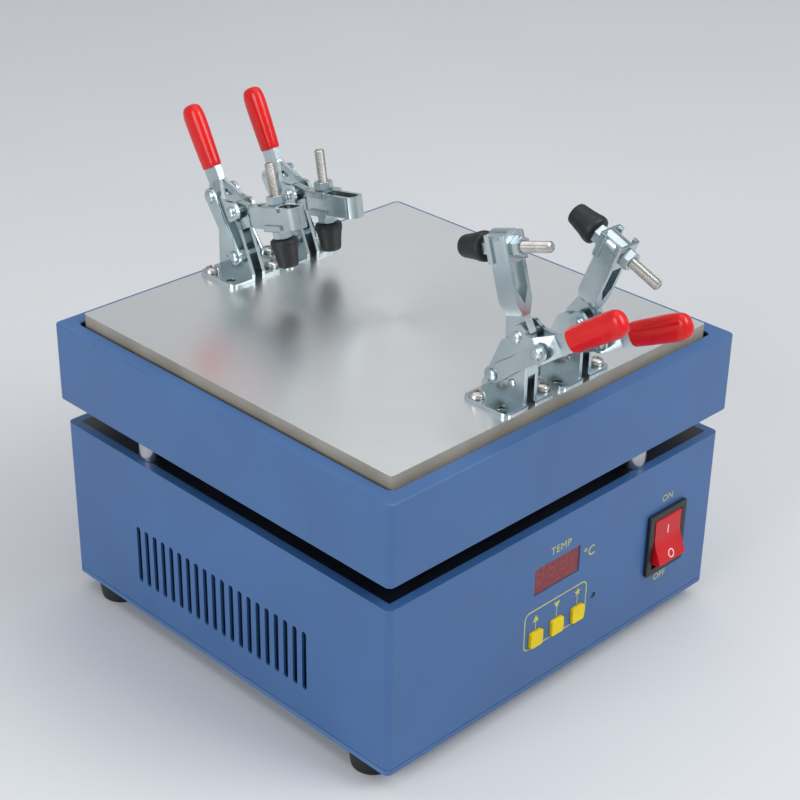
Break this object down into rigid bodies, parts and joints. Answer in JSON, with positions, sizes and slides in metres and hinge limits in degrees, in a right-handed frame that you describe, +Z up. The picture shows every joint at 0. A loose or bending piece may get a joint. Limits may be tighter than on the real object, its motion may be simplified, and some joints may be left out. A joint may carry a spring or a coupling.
{
  "type": "lcd screen separator",
  "caption": "Square heated plate in a sheet-metal tray on a low control case, with vertical toggle clamps along its front and rear edges.",
  "frame": {"origin": "middle of the hot plate's top face", "axes": "+X runs to the right along the front panel, +Y from the front panel to the rear wall, +Z up out of the plate"},
  "size_m": [0.22, 0.2756, 0.2256],
  "materials": {
    "blue_paint": "satin powder coat, faint orange peel",
    "zinc": "bright zinc plate with a blue-green cast",
    "steel": "plain bright steel",
    "aluminium": "turned on top, milled sides",
    "rubber": "matte black",
    "grip_red": "dipped vinyl",
    "black_plastic": "fine grain",
    "red_lens": "dark red filter",
    "rocker_red": "gloss",
    "yellow_plastic": "satin gloss",
    "board": "solder mask",
    "iron_core": "varnished laminations",
    "ceramic": "unglazed",
    "wool": "loose mineral felt"
  },
  "bodies": {
    "case": {"base_pan": "blue_paint", "case_cover": "blue_paint", "feet": "rubber", "case_screws": "steel", "standoffs": "aluminium", "standoff_bolts": "steel", "tray_floor": "blue_paint", "tray": "blue_paint", "plate_posts": "ceramic", "insulation": "wool", "hot_plate": "aluminium", "heating_rods": "steel", "thermocouple": "steel", "display_window": "red_lens", "display_module": "black_plastic", "control_board": "board", "tact_switches": "black_plastic", "status_led": "red_lens", "switch_housing": "black_plastic", "power_inlet": "black_plastic", "transformer": "iron_core", "clamp_screws": "steel", "rear_left_base": "zinc", "rear_right_base": "zinc", "front_left_base": "zinc", "front_right_base": "zinc"},
    "rear_left_arm": {"rear_left_bar": "zinc", "rear_left_spindle": "steel", "rear_left_nuts": "zinc", "rear_left_tip": "rubber"},
    "rear_left_lever": {"rear_left_handle": "zinc", "rear_left_grip": "grip_red"},
    "rear_left_tie": {"rear_left_link": "zinc"},
    "rear_right_arm": {"rear_right_bar": "zinc", "rear_right_spindle": "steel", "rear_right_nuts": "zinc", "rear_right_tip": "rubber"},
    "rear_right_lever": {"rear_right_handle": "zinc", "rear_right_grip": "grip_red"},
    "rear_right_tie": {"rear_right_link": "zinc"},
    "front_left_arm": {"front_left_bar": "zinc", "front_left_spindle": "steel", "front_left_nuts": "zinc", "front_left_tip": "rubber"},
    "front_left_lever": {"front_left_handle": "zinc", "front_left_grip": "grip_red"},
    "front_left_tie": {"front_left_link": "zinc"},
    "front_right_arm": {"front_right_bar": "zinc", "front_right_spindle": "steel", "front_right_nuts": "zinc", "front_right_tip": "rubber"},
    "front_right_lever": {"front_right_handle": "zinc", "front_right_grip": "grip_red"},
    "front_right_tie": {"front_right_link": "zinc"},
    "rocker": {"rocker": "rocker_red"},
    "up_button": {"up_button": "yellow_plastic"},
    "down_button": {"down_button": "yellow_plastic"},
    "set_button": {"set_button": "yellow_plastic"},
    "fuse_drawer": {"fuse_drawer": "black_plastic"}
  },
  "joints": [
    {"name": "rear_left_arm_hinge", "type": "hinge", "parent": "case", "child": "rear_left_arm", "pos_m": [-0.0175, 0.0898, 0.0254], "axis": [-1, 0, 0], "range_deg": [-15, 97]},
    {"name": "rear_left_lever_hinge", "type": "hinge", "parent": "rear_left_arm", "child": "rear_left_lever", "pos_m": [-0.0175, 0.08628, 0.03235], "axis": [-1, 0, 0], "range_deg": [-58.5, 9.5]},
    {"name": "rear_left_tie_hinge", "type": "hinge", "parent": "case", "child": "rear_left_tie", "pos_m": [-0.0175, 0.0827, 0.0113], "axis": [-1, 0, 0], "range_deg": [-5.5, 34.2]},
    {"name": "rear_right_arm_hinge", "type": "hinge", "parent": "case", "child": "rear_right_arm", "pos_m": [0.0175, 0.0898, 0.0254], "axis": [-1, 0, 0], "range_deg": [-10, 102]},
    {"name": "rear_right_lever_hinge", "type": "hinge", "parent": "rear_right_arm", "child": "rear_right_lever", "pos_m": [0.0175, 0.08569, 0.03201], "axis": [-1, 0, 0], "range_deg": [-61.5, 6.5]},
    {"name": "rear_right_tie_hinge", "type": "hinge", "parent": "case", "child": "rear_right_tie", "pos_m": [0.0175, 0.0827, 0.0113], "axis": [-1, 0, 0], "range_deg": [-3.7, 36]},
    {"name": "front_left_arm_hinge", "type": "hinge", "parent": "case", "child": "front_left_arm", "pos_m": [-0.0175, -0.0898, 0.0254], "axis": [1, 0, 0], "range_deg": [-73, 39]},
    {"name": "front_left_lever_hinge", "type": "hinge", "parent": "front_left_arm", "child": "front_left_lever", "pos_m": [-0.0175, -0.09383, 0.03207], "axis": [1, 0, 0], "range_deg": [-21.8, 40.5]},
    {"name": "front_left_tie_hinge", "type": "hinge", "parent": "case", "child": "front_left_tie", "pos_m": [-0.0175, -0.0827, 0.0113], "axis": [1, 0, 0], "range_deg": [-25.8, 14]},
    {"name": "front_right_arm_hinge", "type": "hinge", "parent": "case", "child": "front_right_arm", "pos_m": [0.0175, -0.0898, 0.0254], "axis": [1, 0, 0], "range_deg": [-112, 0]},
    {"name": "front_right_lever_hinge", "type": "hinge", "parent": "front_right_arm", "child": "front_right_lever", "pos_m": [0.0175, -0.09713, 0.02805], "axis": [1, 0, 0], "range_deg": [0, 63]},
    {"name": "front_right_tie_hinge", "type": "hinge", "parent": "case", "child": "front_right_tie", "pos_m": [0.0175, -0.0827, 0.0113], "axis": [1, 0, 0], "range_deg": [-39.5, 0]},
    {"name": "rocker_hinge", "type": "hinge", "parent": "case", "child": "rocker", "pos_m": [0.0722, -0.1045, -0.0988], "axis": [1, 0, 0], "range_deg": [0, 22]},
    {"name": "up_button_travel", "type": "slide", "parent": "case", "child": "up_button", "axis": [0, 1, 0], "range_m": [0, 0.0008], "stiffness_N_per_m": 300, "springref_m": -0.0003},
    {"name": "down_button_travel", "type": "slide", "parent": "case", "child": "down_button", "axis": [0, 1, 0], "range_m": [0, 0.0008], "stiffness_N_per_m": 300, "springref_m": -0.0003},
    {"name": "set_button_travel", "type": "slide", "parent": "case", "child": "set_button", "axis": [0, 1, 0], "range_m": [0, 0.0008], "stiffness_N_per_m": 300, "springref_m": -0.0003},
    {"name": "fuse_drawer_slide", "type": "slide", "parent": "case", "child": "fuse_drawer", "axis": [0, 1, 0], "range_m": [0, 0.014]}
  ],
  "couplings": [
    {"joint": "rear_left_lever_hinge", "follows": "rear_left_arm_hinge", "ratio": -0.6},
    {"joint": "rear_left_tie_hinge", "follows": "rear_left_arm_hinge", "ratio": 0.35},
    {"joint": "rear_right_lever_hinge", "follows": "rear_right_arm_hinge", "ratio": -0.6},
    {"joint": "rear_right_tie_hinge", "follows": "rear_right_arm_hinge", "ratio": 0.35},
    {"joint": "front_left_lever_hinge", "follows": "front_left_arm_hinge", "ratio": -0.55},
    {"joint": "front_left_tie_hinge", "follows": "front_left_arm_hinge", "ratio": 0.35},
    {"joint": "front_right_lever_hinge", "follows": "front_right_arm_hinge", "ratio": -0.56},
    {"joint": "front_right_tie_hinge", "follows": "front_right_arm_hinge", "ratio": 0.35}
  ]
}
